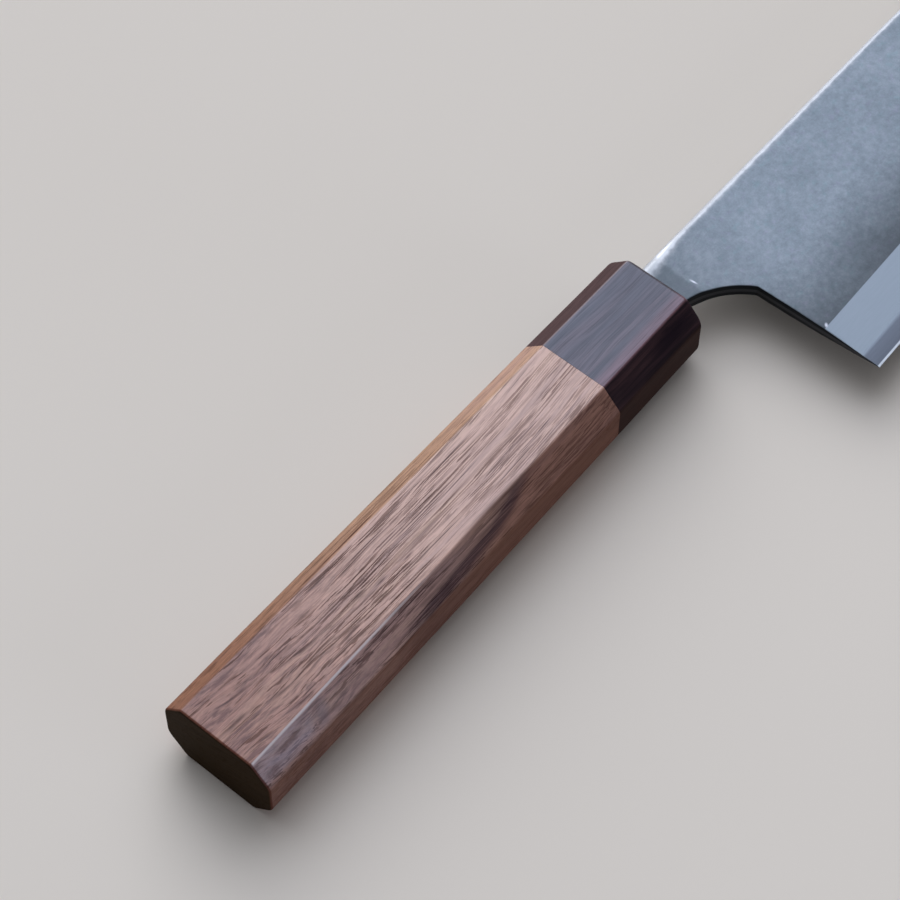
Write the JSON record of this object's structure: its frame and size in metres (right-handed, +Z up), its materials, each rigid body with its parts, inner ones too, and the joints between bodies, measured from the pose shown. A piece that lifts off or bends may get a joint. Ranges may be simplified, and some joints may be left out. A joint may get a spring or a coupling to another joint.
{
  "type": "gyuto kitchen knife",
  "caption": "Cook's knife lying on its side: layered forged blade with a wide ground bevel, hidden tang, tapered octagonal wooden handle and dark wood ferrule.",
  "frame": {"origin": "middle of the knife's footprint on the surface it lies on", "axes": "+X from the butt of the handle to the tip, +Y from the cutting edge to the spine, +Z up, out of the knife's right face"},
  "size_m": [0.3592, 0.057, 0.0185],
  "materials": {
    "core_steel": "honed, semi-bright",
    "cladding": "mottled matte grey as forged above the bevel, satin on the ground bevel, polished on the spine",
    "walnut": "sanded and oiled, open pores",
    "rosewood": "buffed and waxed",
    "dowel_wood": "turned, raw",
    "resin": "cured, slightly glossy"
  },
  "bodies": {
    "root": {"core_steel": "core_steel", "right_cladding": "cladding", "left_cladding": "cladding", "ferrule": "rosewood", "handle_body": "walnut", "dowel": "dowel_wood", "tang_resin": "resin"}
  },
  "joints": []
}
